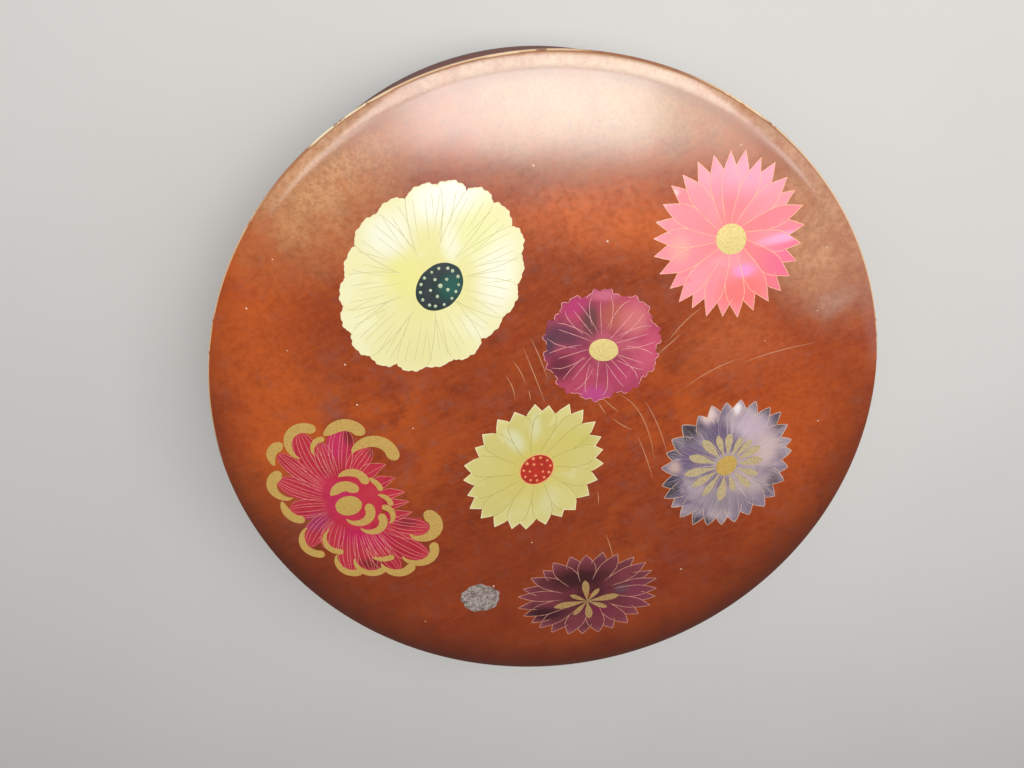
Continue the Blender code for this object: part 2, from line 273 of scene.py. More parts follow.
def finish(material, shader, tree, base, roughness, bump=None, depth=0.0, coat=0.0,
           coat_roughness=0.1):
    """Join a recipe's colour, roughness and relief to its shader."""
    tree.links.new(base, shader.inputs["Base Color"])
    if isinstance(roughness, float):
        shader.inputs["Roughness"].default_value = roughness
    else:
        tree.links.new(roughness, shader.inputs["Roughness"])
    if bump is not None:
        relief = node(tree, "Bump", {"Strength": 1.0, "Distance": depth, "Height": bump})
        tree.links.new(relief, shader.inputs["Normal"])
    shader.inputs["Coat Weight"].default_value = coat
    shader.inputs["Coat Roughness"].default_value = coat_roughness
    return material


# %% [markdown]
# ## Red-brown lacquer
# Lacquer is a clear red-brown film over the wood, so its colour drifts from orange where it is
# thin to brown where it is thick. Noise at several sizes gives that drift, stretched noise
# gives the marks of the brush, and a thin violet bloom lies on it in soft patches, large and
# small. Rubbed places are also rougher, and that breaks up the reflections.

# %% Lacquer recipe
def lacquer_colour(tree, where, tones, streak_scale, streak_turn):
    """Colour of old lacquer, with the clouds and the mottling that it is made from.
    The tones are deep, middle, bright, bloomed and red."""
    deep, middle, bright, bloom, red = [colour(tone) for tone in tones]
    drift = noise(tree, where, 12, 3.0)
    clouds = noise(tree, where, 70, 6.0, 0.66)
    mottle = noise(tree, where, 360, 5.0, 0.7)
    streaks = noise(tree, stretched(tree, where, streak_scale, streak_turn), 1.0, 5.0, 0.65)
    patches = noise(tree, where, 23, 4.0, 0.6)
    base = middle
    for source, low, high, most, tone in (
            (drift, 0.38, 0.62, 1.0, bright), (patches, 0.5, 0.64, 0.6, red),
            (clouds, 0.46, 0.72, 0.5, deep), (mottle, 0.5, 0.74, 0.35, bright),
            (mottle, 0.5, 0.3, 0.25, deep), (streaks, 0.5, 0.72, 0.35, bright),
            (streaks, 0.48, 0.3, 0.25, deep)):
        base = blend(tree, remap(tree, source, low, high, 0.0, most), base, tone)
    for size, most in ((44, 0.3), (150, 0.34), (620, 0.3)):
        veil = remap(tree, noise(tree, where, size, 5.0, 0.66), 0.52, 0.72, 0.0, most)
        base = blend(tree, veil, base, bloom)
    return base, clouds, mottle


def arris_wear_and_sheen(tree, where, width, zones, patch_scale, cover):
    """1 on marked stretches of the arris: chips, or a line of wear and painted highlight. A zone is an
    ellipse holding the mark.
    """
    rim = remap(tree, from_axis(tree, where), LID_RADIUS - width * 1.6, LID_RADIUS - width)
    patchy = remap(tree, noise(tree, where, patch_scale, 4.0, 0.7), cover, cover - 0.06)
    inside = spot(tree, where, *zones[0])
    for zone in zones[1:]:
        inside = maths(tree, "MAXIMUM", inside, spot(tree, where, *zone))
    return times(tree, rim, patchy, inside)


def lid_lacquer():
    material, tree, shader = new_material("lid_lacquer")
    where = place(tree)
    base, clouds, mottle = lacquer_colour(
        tree, where, ("6A240C", "943C15", "B4501A", "8A5A50", "8A2C10"),
        (70, 520, 90), -28)

    # The film is thinner and brighter in a few broad orange places. The pale tan spots at the top, at
    # the two upper corners and on the right rim are painted sheen, where the lamps' broad reflection
    # lies
    uneven = times(tree, remap(tree, mottle, 0.36, 0.6, 0.66, 1.0),
                   remap(tree, noise(tree, where, 34, 6.0, 0.7), 0.35, 0.62, 0.5, 1.0))
    base = add_spots(tree, where, base, [
        ((-126, 12), (36, 92), 0, "CC5E22", 0.75), ((14, 88), (66, 24), 0, "DC6A26", 0.8),
        ((112, -10), (48, 78), 0, "C2551C", 0.7), ((80, 36), (36, 34), 0, "CC6836", 0.6),
        ((-96, 98), (60, 42), 45, "D29A68", 0.9), ((112, 84), (60, 40), -50, "D8A276", 0.85),
        ((0, 134), (140, 42), 0, "BA8C58", 0.85), ((12, 130), (66, 30), 0, "BA9666", 0.65),
        ((124, 52), (15, 9), 35, "B89C8C", 0.6)], 0.9, uneven)

    # A fine grain shows where it is rubbed
    upright = node(tree, "SeparateXYZ", {"Vector": where}, output="Y")
    grain = times(tree, remap(tree, noise(tree, where, 800, 4.0, 0.7), 0.46, 0.62),
                  remap(tree, upright, 50 * MM, 110 * MM, 0.0, 0.42))
    base = blend(tree, grain, base, colour("93603F"))

    # Painted shade: darker towards the front, where less light falls, and darkest at the front rim
    base = blend(tree, remap(tree, upright, 0.0, -150 * MM, 0.0, 0.6), base, colour("742607"))
    radius = from_axis(tree, where)
    edge = remap(tree, radius, 124 * MM, 154 * MM, 0.0, 0.8)
    low = remap(tree, upright, 60 * MM, -90 * MM)
    base = blend(tree, times(tree, edge, low), base, colour("481C10"))

    # At the back the shoulder carries a painted reflection: a soft dark band just inside it,
    # a pale band of painted sheen on it, and a darker outer edge
    behind = times(tree, remap(tree, upright, 70 * MM, 128 * MM), uneven)
    inner = times(tree, remap(tree, radius, 139 * MM, 143.5 * MM),
                  remap(tree, radius, 147.5 * MM, 144.5 * MM))
    shoulder_sheen_band = remap(tree, radius, 144 * MM, 147 * MM)
    outer = remap(tree, radius, 149.9 * MM, 150.7 * MM)
    for band, most, code in ((inner, 0.5, "7C4A2E"), (shoulder_sheen_band, 0.4, "E6CAAA"),
                             (outer, 0.8, "7E3C22")):
        base = blend(tree, times(tree, band, behind, most), base, colour(code))

    # Cream ground shows through where the arris is chipped; the thin pale line along it is partly wear
    # and partly painted highlight
    chips = arris_wear_and_sheen(tree, where, 0.6 * MM, [((-84, 125), (22, 8), 38, 0.2),
                                             ((-27, 149), (9, 6), 10, 0.2),
                                             ((75, 131), (14, 8), -30, 0.2)], 70, 0.62)
    line = arris_wear_and_sheen(tree, where, 0.5 * MM, [((112, 96), (96, 42), -50, 0.3),
                                            ((-139, 38), (34, 72), -18, 0.4),
                                            ((-40, 146), (60, 18), 15, 0.3)], 60, 0.64)
    base = blend(tree, chips, base, colour("F4E2BC"))
    base = blend(tree, times(tree, line, 0.85), base, colour("EBC79A"))
    roughness = remap(tree, mottle, 0.3, 0.7, 0.16, 0.24)
    return finish(material, shader, tree, base, roughness, clouds, 0.04 * MM, 1.0, 0.14)


def side_lacquer():
    material, tree, shader = new_material("body_lacquer")
    where = place(tree)
    base, clouds, mottle = lacquer_colour(
        tree, where, ("45140B", "621E10", "802C14", "6A4238", "5E160C"),
        (40, 40, 380), 0)
    shader.inputs["Specular IOR Level"].default_value = 0.12
    roughness = remap(tree, mottle, 0.3, 0.7, 0.46, 0.58)
    return finish(material, shader, tree, base, roughness, clouds, 0.04 * MM)


def black_lacquer(name, roughness_low, roughness_high):
    """Black lacquer of the inside and the base, with a brown cast and fine dust."""
    material, tree, shader = new_material(name)
    where = place(tree)
    clouds = noise(tree, where, 30, 5.0, 0.6)
    dust = remap(tree, noise(tree, where, 1400, 2.0), 0.66, 0.8, 0.0, 0.35)
    base = blend(tree, clouds, colour("0E0A09"), colour("2A1A14"))
    base = blend(tree, dust, base, colour("6E5A4C"))
    roughness = remap(tree, clouds, 0.3, 0.7, roughness_low, roughness_high)
    return finish(material, shader, tree, base, roughness, clouds, 0.04 * MM, 0.3, 0.12)


LID_LACQUER = lid_lacquer()
SIDE_LACQUER = side_lacquer()
INNER_LACQUER = black_lacquer("inner_lacquer", 0.22, 0.34)
BASE_LACQUER = black_lacquer("base_lacquer", 0.38, 0.55)

# %% [markdown]
# ## Turned pieces
# The lid and the hoops are bodies of revolution. One circle is the start, and its edge is
# extruded from corner to corner of the section, each time moved up or down and scaled to the
# next radius, as a turner's tool follows a profile. A Bevel modifier then softens the corners.

# %% Turn a section
ROUNDS = 256


def turned(name, section, closed):
    """Turn a section of (radius, height) corners about the axis. A closed section is a hoop,
    an open one runs from near the axis to near the axis, and its two small holes are filled."""
    radius, height = section[0]
    piece = add(bpy.ops.mesh.primitive_circle_add, vertices=ROUNDS, radius=radius,
                location=(0, 0, height))
    piece.name = piece.data.name = name
    bpy.ops.object.transform_apply(location=True, rotation=True, scale=True)
    bpy.ops.object.mode_set(mode="EDIT")
    bpy.ops.mesh.select_all(action="SELECT")
    for next_radius, next_height in section[1:]:
        bpy.ops.mesh.extrude_edges_move(
            TRANSFORM_OT_translate={"value": (0, 0, next_height - height)})
        share = next_radius / radius
        bpy.ops.transform.resize(value=(share, share, 1), center_override=(0, 0, 0))
        radius, height = next_radius, next_height
    bpy.ops.mesh.select_all(action="DESELECT")
    bpy.ops.mesh.select_non_manifold()
    if closed:
        bpy.ops.mesh.bridge_edge_loops()
    else:
        bpy.ops.mesh.fill_holes(sides=0)
        bpy.ops.mesh.select_face_by_sides(number=4, type="GREATER", extend=False)
        bpy.ops.mesh.poke()
    bpy.ops.mesh.select_all(action="SELECT")
    bpy.ops.mesh.normals_make_consistent(inside=False)
    bpy.ops.object.mode_set(mode="OBJECT")
    return piece


def hand_over(piece, material, slot, body, *nodes):
    """Shade a finished piece, give it its material, and say what it rides on and stands for."""
    only(piece)
    bpy.ops.object.shade_smooth_by_angle(angle=SMOOTH_ANGLE)
    piece.data.materials.clear()
    piece.data.materials.append(material)
    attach(piece, body)
    if nodes:
        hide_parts(*nodes)
    print(piece.name, "has", len(piece.data.polygons), "faces")


# %% [markdown]
# ## Lid board
# The lid board is a turned disc. Its top follows the dome in many fine rings, its edge hangs a
# millimetre under the arris, and under it a plug sits inside the lid hoop and is hollowed out.

# %% Lid board
EDGE_HEIGHT = 1.3 * MM
PLUG_RADIUS = 146.5 * MM
PLUG_DEPTH = 3 * MM
PLUG_WIDTH = 10.5 * MM
BOARD_THICKNESS = 6 * MM
HOLLOW_FLOOR_RADIUS = 107 * MM
AXIS_HOLE = 1 * MM


def lid_section():
    dome = np.linspace(AXIS_HOLE, DOME_RADIUS, 20)
    shoulder = DOME_RADIUS + SHOULDER_RADIUS * np.sin(np.linspace(0, SHOULDER_ANGLE, 9))[1:]
    top = [(radius, float(lid_height(radius))) for radius in [*dome, *shoulder]]
    edge_low = ARRIS_HEIGHT - EDGE_HEIGHT
    hollow_radius = PLUG_RADIUS - PLUG_WIDTH
    hollow = np.linspace(HOLLOW_FLOOR_RADIUS, AXIS_HOLE, 7)
    return top + [
        (LID_RADIUS, edge_low), (PLUG_RADIUS, edge_low), (PLUG_RADIUS, edge_low - PLUG_DEPTH),
        (hollow_radius, edge_low - PLUG_DEPTH),
    ] + [(radius, float(lid_height(radius)) - BOARD_THICKNESS) for radius in hollow]


lid_skin = turned("lid_top", lid_section(), closed=False)
soften(lid_skin, 0.35 * MM, 3)
hand_over(lid_skin, LID_LACQUER, "lid_lacquer", "lid", "lid_board")

# %% [markdown]
# ## Hoops, base and foot
# The hoops are strips of wood bent round and lacquered, so each is a plain rectangle in
# section. The bottom board has a flange under the body hoop and a plug inside it.

# %% Hoops, base and foot
def hoop(name, node_name, rounding, material, slot, body):
    ring = rings[node_name]
    section = [(ring.inner, ring.high), (ring.outer, ring.high), (ring.outer, ring.low),
               (ring.inner, ring.low)]
    piece = turned(name, section, closed=True)
    soften(piece, rounding, 4)
    hand_over(piece, material, slot, body, node_name)


hoop("lid_side", "lid_hoop", 0.7 * MM, SIDE_LACQUER, "body_lacquer", "lid")
hoop("body_side", "body_hoop", 0.7 * MM, SIDE_LACQUER, "body_lacquer", "box")
hoop("lip", "lining_hoop", 1.1 * MM, INNER_LACQUER, "inner_lacquer", "box")
hoop("foot", "foot_ring", 1.6 * MM, SIDE_LACQUER, "body_lacquer", "box")

FLANGE_THICKNESS = 3 * MM
BASE_PLUG_RADIUS = 146.4 * MM
base_ring = rings["bottom_board"]
base = turned("base", [
    (AXIS_HOLE, base_ring.high), (BASE_PLUG_RADIUS, base_ring.high),
    (BASE_PLUG_RADIUS, base_ring.low + FLANGE_THICKNESS),
    (base_ring.outer, base_ring.low + FLANGE_THICKNESS), (base_ring.outer, base_ring.low),
    (AXIS_HOLE, base_ring.low)], closed=False)
soften(base, 1.2 * MM, 4)
hand_over(base, BASE_LACQUER, "base_lacquer", "box", "bottom_board")

# %% [markdown]
# ## Three patterns for the inlay
# The inlay has hundreds of small flat pieces, but only three kinds: petals, which are leaf
# shapes, strips, which are lines and drops, and discs, which are eyes and dots. Each kind is
# modelled once as a flat grid or disc, an Array modifier copies it, and the copies' points are
# then moved to their places with a formula, because every petal has its own size and angle.

# %% Grid pattern, copies and shells
WELD_GAP = 0.002 * MM


def grid_pattern(name, along, across, copies):
    """A flat grid from 0 to 1 along X and -1 to 1 along Y, copied in one mesh."""
    piece = add(bpy.ops.mesh.primitive_grid_add, x_subdivisions=along, y_subdivisions=across,
                size=2)
    piece.name = piece.data.name = name
    unit = get_points(piece)
    unit[:, 0] = (unit[:, 0] + 1) / 2
    modify(piece, "ARRAY", count=copies, use_relative_offset=False)
    return piece, unit[:, 0], unit[:, 1]


def disc_pattern(name, spokes, rings_count):
    """A flat unit disc of rings and spokes."""
    piece = add(bpy.ops.mesh.primitive_circle_add, vertices=spokes, radius=1, fill_type="NGON")
    piece.name = piece.data.name = name
    bpy.ops.object.mode_set(mode="EDIT")
    bpy.ops.mesh.select_all(action="SELECT")
    for _ in range(rings_count - 1):
        bpy.ops.mesh.inset(thickness=1 / rings_count * math.cos(math.pi / spokes))
    bpy.ops.mesh.poke()
    bpy.ops.object.mode_set(mode="OBJECT")
    unit = get_points(piece)
    return piece, np.hypot(unit[:, 0], unit[:, 1]), np.arctan2(unit[:, 1], unit[:, 0])


def as_shell(piece, thickness):
    """Weld the points that met at a tip and give the sheet its thickness downwards."""
    modify(piece, "WELD", merge_threshold=WELD_GAP)
    modify(piece, "SOLIDIFY", thickness=thickness, offset=-1)
    return piece


def tint_copies(piece, tints, count):
    """Give each copy's points one shade number, which its material reads."""
    values = piece.data.attributes.new("tint", "FLOAT", "POINT")
    values.data.foreach_set("value", np.repeat(tints, count).astype(np.float32))


# %% [markdown]
# ## Strips
# A strip follows a path and has a width at each point of it, so one function makes engraved
# lines, gold outlines, drops, curls and scratches.

# %% Strips along paths
def strips(name, paths, widths, thickness, tints=None):
    """Closed ribbons. Each path is a row of (x, y, lift) points, with a width at each."""
    paths = np.asarray(paths, float)
    widths = np.asarray(widths, float)
    count, steps = paths.shape[:2]
    piece, along, across = grid_pattern(name, steps - 1, 1, count)
    index = np.rint(along * (steps - 1)).astype(int)
    heading = np.gradient(paths[:, :, :2], axis=1)
    heading /= np.linalg.norm(heading, axis=2, keepdims=True) + 1e-12
    sideways = np.stack([-heading[:, :, 1], heading[:, :, 0]], axis=2)
    flat = paths[:, index, :2] + sideways[:, index] * (
        widths[:, index] * across / 2)[:, :, None]
    set_points(piece, on_lid(flat.reshape(-1, 2), paths[:, index, 2].ravel()))
    tint_copies(piece, np.zeros(count) if tints is None else tints, len(along))
    return as_shell(piece, thickness)


# %% [markdown]
# ## Blossoms of even petals
# Six blossoms have petals of one shape all round. A blossom is drawn as if it were round, then
# narrowed across and turned, which gives the slightly oval flowers of hand-drawn ornament.
# A petal widens from its root to its belly and closes round its tip, sharp or blunt. Each leans
# a little over its neighbour like a shingle, every second one lies on top, and small
# differences in length, width and angle keep the ring from looking printed.

# %% Petals
Flower = namedtuple("Flower", "name reach narrow tilt count belly sharp broad frill uneven seed")

FLOWERS = (
    Flower("white", 45.0, 0.80, 52, 18, 0.86, 0.0, 0.55, 0.045, 0.9, 1),
    Flower("pink", 36.2, 0.905, 103, 29, 0.66, 1.2, 0.58, 0.0, 1.0, 2),
    Flower("plum", 26.9, 0.97, 0, 10, 0.70, 0.0, 0.545, 0.08, 1.2, 3),
    Flower("yellow", 36.9, 0.83, 48, 25, 0.76, 1.2, 0.60, 0.0, 1.2, 4),
    Flower("lilac", 35.8, 0.89, 68, 27, 0.72, 0.8, 0.58, 0.0, 1.2, 5),
    Flower("dark", 36.7, 0.71, 11, 27, 0.66, 0.9, 0.56, 0.0, 1.1, 6),
)

PETAL_ROOT = 0.05
BODY_STATIONS = 0.4
PETAL_LIFT = 0.10 * MM
FRONT_LIFT = 0.05 * MM
SHINGLE_LIFT = 0.04 * MM
LINE_LIFT = 0.02 * MM
PETAL_THICKNESS = 0.3 * MM
LINE_THICKNESS = 0.1 * MM


def centre_of(node_name):
    low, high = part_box(node_name)
    return np.array([(low.x + high.x) / 2, (low.y + high.y) / 2])


class Petals:
    """The sizes and angles of one blossom's petals, and where a point of a petal lies."""

    def __init__(self, flower):
        self.flower = flower
        self.centre = centre_of(flower.name + "_blossom")
        chance = np.random.default_rng(flower.seed)
        step = 2 * math.pi / flower.count

        def vary(size):
            return chance.uniform(-size, size, flower.count) * flower.uneven

        self.angle = (np.arange(flower.count) + 0.5) * step + vary(0.10) * step
        self.length = flower.reach * MM * (1 - np.abs(vary(0.05)))
        self.half = flower.reach * MM * step * flower.broad * (1 + vary(0.08))
        self.front = np.arange(flower.count) % 2 == 0
        self.tint = chance.uniform(0, 1, flower.count)
        self.phase = chance.uniform(0, 2 * math.pi, flower.count)
        self.free = self.notch(step)

    def outline(self, station, across, petal):
        """Share of the length and of the half width at a station from root (0) to tip (1)."""
        flower = self.flower
        body = np.clip(station / BODY_STATIONS, 0, 1)
        turn = math.pi / 2 * np.clip((station - BODY_STATIONS) / (1 - BODY_STATIONS), 0, 1)
        cap = np.sin(turn)
        round_tip = across * (math.pi / 2 - turn)
        phase = self.phase[petal]
        wave = flower.frill * cap * (np.sin(9 * round_tip + phase)
                                     + 0.7 * np.sin(16 * round_tip + 2 * phase))
        reach = flower.belly * body + (1 - flower.belly) * cap * (1 + wave)
        rise = 0.25 + 0.75 * np.sin(math.pi / 2 * body) ** 0.9
        fall = (1 - np.minimum(cap, 1) ** (2 - flower.sharp / 2)) ** (0.5 + flower.sharp / 2)
        return PETAL_ROOT + (1 - PETAL_ROOT) * reach, rise * fall * (1 + wave)

    def notch(self, step):
        """The station where two neighbours' edges cross, past which both show."""
        station = np.linspace(0, 1, 201)
        reach, width = self.outline(station, 0.0, 0)
        hidden = self.half.mean() * width > self.length.mean() * reach * math.tan(step / 2)
        return station[np.nonzero(hidden)[0][-1]]

    def points(self, petal, station, across):
        """Flat places and lifts of points given by station and across (-1 to 1)."""
        reach, width = self.outline(station, across, petal)
        x = self.length[petal] * reach
        y = self.half[petal] * width * across
        turn = self.angle[petal]
        round_x = x * np.cos(turn) - y * np.sin(turn)
        round_y = (x * np.sin(turn) + y * np.cos(turn)) * self.flower.narrow
        tilt = math.radians(self.flower.tilt)
        flat = np.stack([round_x * math.cos(tilt) - round_y * math.sin(tilt),
                         round_x * math.sin(tilt) + round_y * math.cos(tilt)], axis=-1)
        lift = PETAL_LIFT + FRONT_LIFT * self.front[petal] + SHINGLE_LIFT * across
        return self.centre + flat, lift + 0 * x

    def line(self, petal, stations, across):
        """A path on the petal, just over its surface."""
        flat, lift = self.points(petal, stations, across)
        return np.column_stack([flat, lift + LINE_LIFT])


def petal_piece(blossom):
    flower = blossom.flower
    along_steps = 44 if flower.frill else 18
    piece, along, across = grid_pattern(flower.name + "_petals", along_steps, 4, flower.count)
    petal = np.repeat(np.arange(flower.count), len(along))
    flat, lift = blossom.points(petal, np.tile(along, flower.count),
                                np.tile(across, flower.count))
    set_points(piece, on_lid(flat, lift))
    tint_copies(piece, blossom.tint, len(along))
    return as_shell(piece, PETAL_THICKNESS)


blossoms = {flower.name: Petals(flower) for flower in FLOWERS}

# %% [markdown]
# ## Tinted shell
# The blossoms are thin plates of shell, backed with colour and polished flush. The colour
# changes from petal to petal and along each petal, fine growth lines run along it, and soft
# patches of another tone shimmer through at random. Placed spots are partly the shell's own
# patches and partly painted sheen, pale where the shell catches the light and dark where it reflects
# none.

# %% Shell recipe
def shell(name, light, deep, root, patch, patch_range, spots, tip=None, silk=None):
    """Tinted shell, with its own colours at the petals' roots and tips, random shimmering patches, and
    placed spots, some of them painted sheen.
    """
    material, tree, shader = new_material(name)
    where = place(tree)
    tint = node(tree, "Attribute", {}, output="Fac", attribute_name="tint")
    uv = node(tree, "TexCoord", {}, output="UV")
    along = node(tree, "SeparateXYZ", {"Vector": uv}, output="X")
    fibre = node(tree, "TexNoise", {"Vector": node(
        tree, "VectorMath", {0: uv, 1: (2.5, 22, 1)}, operation="MULTIPLY"),
        "W": times(tree, tint, 30.0), "Scale": 1.0, "Detail": 3.0},
        noise_dimensions="4D")
    base = blend(tree, tint, colour(light), colour(deep))
    base = blend(tree, remap(tree, fibre, 0.35, 0.75, 0.0, 0.5), base, colour(deep))
    base = blend(tree, remap(tree, along, 0.4, 0.0, 0.0, 0.8), base, colour(root))
    if tip:
        base = blend(tree, remap(tree, along, 0.5, 0.95, 0.0, 0.7), base, colour(tip))
    shimmer = noise(tree, where, 62, 3.0, 0.5, 0.7)
    base = blend(tree, remap(tree, shimmer, *patch_range), base, colour(patch))
    base = add_spots(tree, where, base, spots)
    if silk:
        base = blend(tree, remap(tree, fibre, 0.5, 0.72, 0.0, 0.5), base, colour(silk))
    return finish(material, shader, tree, base, 0.24, fibre, 0.01 * MM, 0.25, 0.12)


def metal(name, light, deep, metallic=0.15):
    """Gold leaf or gold paint, slightly worn."""
    material, tree, shader = new_material(name)
    wear = noise(tree, place(tree), 1100, 3.0, 0.6)
    base = blend(tree, remap(tree, wear, 0.3, 0.6), colour(deep), colour(light))
    shader.inputs["Metallic"].default_value = metallic
    return finish(material, shader, tree, base, 0.4, wear, 0.02 * MM)


# Painted sheen: the near-white spots on the white shell, the pale streak and lilac spot on the pink, and
# the pale spots on the lilac are highlights painted where the shell catches the light. The lilac's
# near-black spots are painted where it reflects no light. The plum's dark and bright spots are partly
# shell tone and partly painted reflection.
PETAL_SHELLS = {"white": shell(
    "white_shell", "F1ECBA", "EAE3A6", "E6DE90", "F4F0CC", (0.5, 0.7, 0.0, 0.5),
    [((-47, 95), (26, 14), 20, "F6F5E6", 0.9), ((-71, 79), (16, 14), 40, "F4F3E0", 0.8),
     ((-45, 77), (6, 13), 5, "F4F3DC", 0.7), ((-34, 40), (7, 12), 40, "F2F0D4", 0.6),
     ((-33, 80), (13, 15), 0, "ECECA8", 0.7), ((-64, 62), (12, 13), 0, "E9E48E", 0.8),
     ((-54, 30), (28, 13), 0, "E2DA96", 0.5), ((-25, 62), (13, 26), -6, "F8F5E0", 0.85)]), "pink": shell(
    "pink_shell", "F69CA6", "EE7F89", "F28684", "F8A4B2", (0.5, 0.72, 0.0, 0.5),
    [((77, 108), (28, 15), 0, "F6A6BC", 0.8), ((52, 88), (18, 20), 0, "F08C94", 0.6),
     ((100, 70), (18, 20), -20, "EE6A8E", 0.75), ((81, 57), (19, 12), 10, "F0746C", 0.8),
     ((96, 80.5), (17, 3.4), 14, "F4B4DC", 0.7), ((80, 66), (7, 4.4), 10, "F09ADC", 0.7),
     ((51, 75), (7, 9), 10, "F0AE9E", 0.6), ((45, 97.5), (5, 2.6), 20, "FBE4DC", 0.7)]), "plum": shell(
    "plum_shell", "BE4A66", "A03E56", "8A384C", "CE6878", (0.5, 0.7, 0.0, 0.5),
    [((3, 37), (16, 9), -15, "5C3846", 0.9), ((-3, 32), (6, 8), 0, "4A3A48", 0.85),
     ((15, 44), (6, 12), 5, "5E403A", 0.85), ((25, 46), (9, 11), 0, "B4604A", 0.75),
     ((8, 50), (9, 6), 30, "B83A70", 0.8), ((20, 55), (10, 4), 0, "CC6C84", 0.8),
     ((34, 44), (10, 11), 0, "D07474", 0.85), ((43, 32), (7, 12), 0, "CC566E", 0.7),
     ((19, 9), (9, 6), 0, "BE4A8C", 0.7), ((3, 22), (10, 11), 0, "58242F", 0.8),
     ((31, 19), (12, 9), 0, "B84268", 0.6)]), "yellow": shell(
    "yellow_shell", "D8CE88", "C8BC6C", "CEBE60", "DAD49E", (0.55, 0.75, 0.0, 0.5),
    [((-16, -14), (6, 10), 35, "DADAB4", 0.7), ((-7, -7), (4, 11), 0, "DAD8AC", 0.6),
     ((1, -47), (7, 12), -10, "D8D4A4", 0.5), ((10, -14), (12, 9), 0, "CCC060", 0.5)],
    tip="DED498"), "lilac": shell(
    "lilac_shell", "8A7886", "6C5C72", "76667A", "B09EA2", (0.40, 0.60, 0.0, 0.75),
    [((64, -10), (10, 9), 30, "2E2630", 0.9), ((57, -20), (7, 8), 0, "38303E", 0.85),
     ((59, -40), (7, 11), 10, "2E2834", 0.9), ((74, -60), (20, 6), -10, "322A34", 0.9),
     ((99, 1), (9, 6), -30, "38292C", 0.85), ((107, -6), (5, 8), 0, "3C3036", 0.8),
     ((109, -38), (5, 10), -20, "4A383C", 0.7), ((73, -2), (6, 8), 20, "E2C4BC", 0.9),
     ((60, -29), (5, 5), 0, "C8A89C", 0.8), ((86, 1), (3, 5), 0, "F0E2E0", 0.95),
     ((94, -8), (15, 12), -30, "C4AEB8", 0.85), ((102, -20), (11, 15), 0, "CCB2AE", 0.85),
     ((97, -39), (13, 12), 0, "B4A09E", 0.8), ((86, -48), (20, 9), 0, "8C7C84", 0.85),
     ((78, -9), (8, 8), 0, "66526E", 0.75), ((66, -24), (7, 9), 0, "604E6E", 0.7)],
    silk="D8C8CC"), "dark": shell(
    "dark_shell", "7E3A42", "683036", "441C20", "7C3442", (0.5, 0.7, 0.0, 0.5),
    [((18, -92), (24, 10), 5, "38191A", 0.9), ((41, -99), (6, 4), 10, "5E4A52", 0.8),
     ((2, -114), (18, 7), 0, "2C141C", 0.85), ((50, -102), (12, 15), 0, "80364A", 0.7),
     ((30, -112), (12, 6), 0, "78243F", 0.6)],
    tip="965460")}

for flower_name, blossom in blossoms.items():
    hand_over(petal_piece(blossom), PETAL_SHELLS[flower_name], flower_name + "_shell", "lid",
              flower_name + "_blossom")

# %% [markdown]
# ## Petal lines
# The petals' edges are drawn in gold on four blossoms and engraved on two. A front petal is
# drawn from its root, and of a petal behind it only the free tip is drawn.

# %% Lines along the petals' edges
EDGE_STEPS = 16
RAY_STEPS = 10
EDGE_INSET = 0.97


def edge_lines(blossom, name, width, front, back=None):
    """Lines on both edges of the petals. Front and back petals each give two stations."""
    paths = []
    for petal in range(blossom.flower.count):
        stretch = front if blossom.front[petal] else back
        if stretch:
            stations = np.linspace(*stretch, EDGE_STEPS)
            paths += [blossom.line(petal, stations, side * EDGE_INSET) for side in (-1, 1)]
    taper = np.clip(3 * np.sin(np.linspace(0.1, math.pi - 0.1, EDGE_STEPS)), 0.3, 1)
    return strips(name, paths, np.tile(width * MM * taper, (len(paths), 1)), LINE_THICKNESS)


def rays(blossom, name, fans, width, seed):
    """Lines along the petals. Each fan is how far across the petal, and two stations."""
    chance = np.random.default_rng(seed)
    paths = []
    for petal in range(blossom.flower.count):
        for across, start, end in fans:
            stations = np.linspace(start + chance.uniform(-0.04, 0.04),
                                   end + chance.uniform(-0.05, 0.05), RAY_STEPS)
            lean = across + chance.uniform(-0.1, 0.1) + 0.12 * np.sin(stations * math.pi)
            path = blossom.line(petal, stations, lean)
            path[:, 2] = PETAL_LIFT + FRONT_LIFT + SHINGLE_LIFT + LINE_LIFT
            paths.append(path)
    taper = np.sin(np.linspace(0.15, math.pi - 0.1, RAY_STEPS)) ** 0.5
    return strips(name, paths, np.tile(width * MM * taper, (len(paths), 1)), LINE_THICKNESS)


def paste(name, light, deep):
    """Coloured paste rubbed into an engraved line."""
    material, tree, shader = new_material(name)
    grain = noise(tree, place(tree), 700, 3.0)
    return finish(material, shader, tree, blend(tree, grain, colour(light), colour(deep)), 0.5)


PALE_GOLD = metal("pale_gold_line", "F6C09A", "EE9E88", metallic=0.05)
SILVER_GOLD = metal("silver_gold_line", "DCB8A4", "B48C7C", metallic=0.05)
OLD_GOLD = metal("old_gold_line", "D09880", "A86E62", metallic=0.05)
ROSE_GOLD = metal("rose_gold_line", "EEB0A4", "D08292", metallic=0.05)
CREAM_LINE = paste("cream_line", "F2E8C0", "E4D6A6")
GREY_PASTE = paste("grey_paste", "D6CE98", "B4AC7C")
OLIVE_PASTE = paste("olive_paste", "BCB064", "A0944E")

white, pink, plum = blossoms["white"], blossoms["pink"], blossoms["plum"]
yellow, lilac, dark = blossoms["yellow"], blossoms["lilac"], blossoms["dark"]

